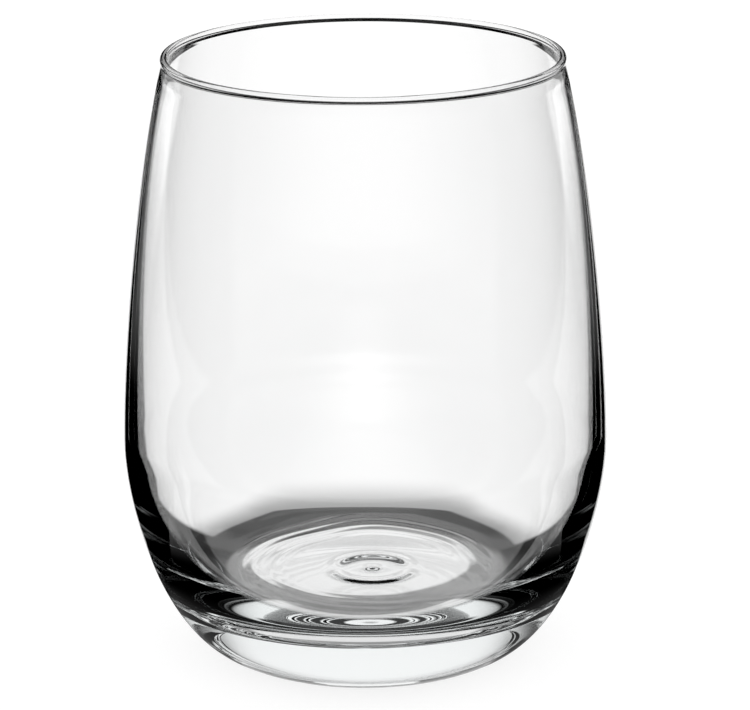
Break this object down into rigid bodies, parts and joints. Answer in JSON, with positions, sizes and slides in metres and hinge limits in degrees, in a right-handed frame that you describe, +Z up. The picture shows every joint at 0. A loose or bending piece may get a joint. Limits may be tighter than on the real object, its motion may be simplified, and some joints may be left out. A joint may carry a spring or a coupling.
{
  "type": "stemless wine glass",
  "caption": "Clear stemless wine glass: a rounded bowl, widest low down, that narrows to a fine rounded rim and stands on a small flat foot ring under a thick base.",
  "frame": {"origin": "middle of the foot, on the surface that the glass stands on", "axes": "+Z up along the axis that the glass is turned about, towards the rim; X and Y are alike"},
  "size_m": [0.0878, 0.0878, 0.11],
  "materials": {
    "clear_glass": "clear colourless glass, fire polished"
  },
  "bodies": {
    "root": {"stemless_glass": "clear_glass"}
  },
  "joints": []
}
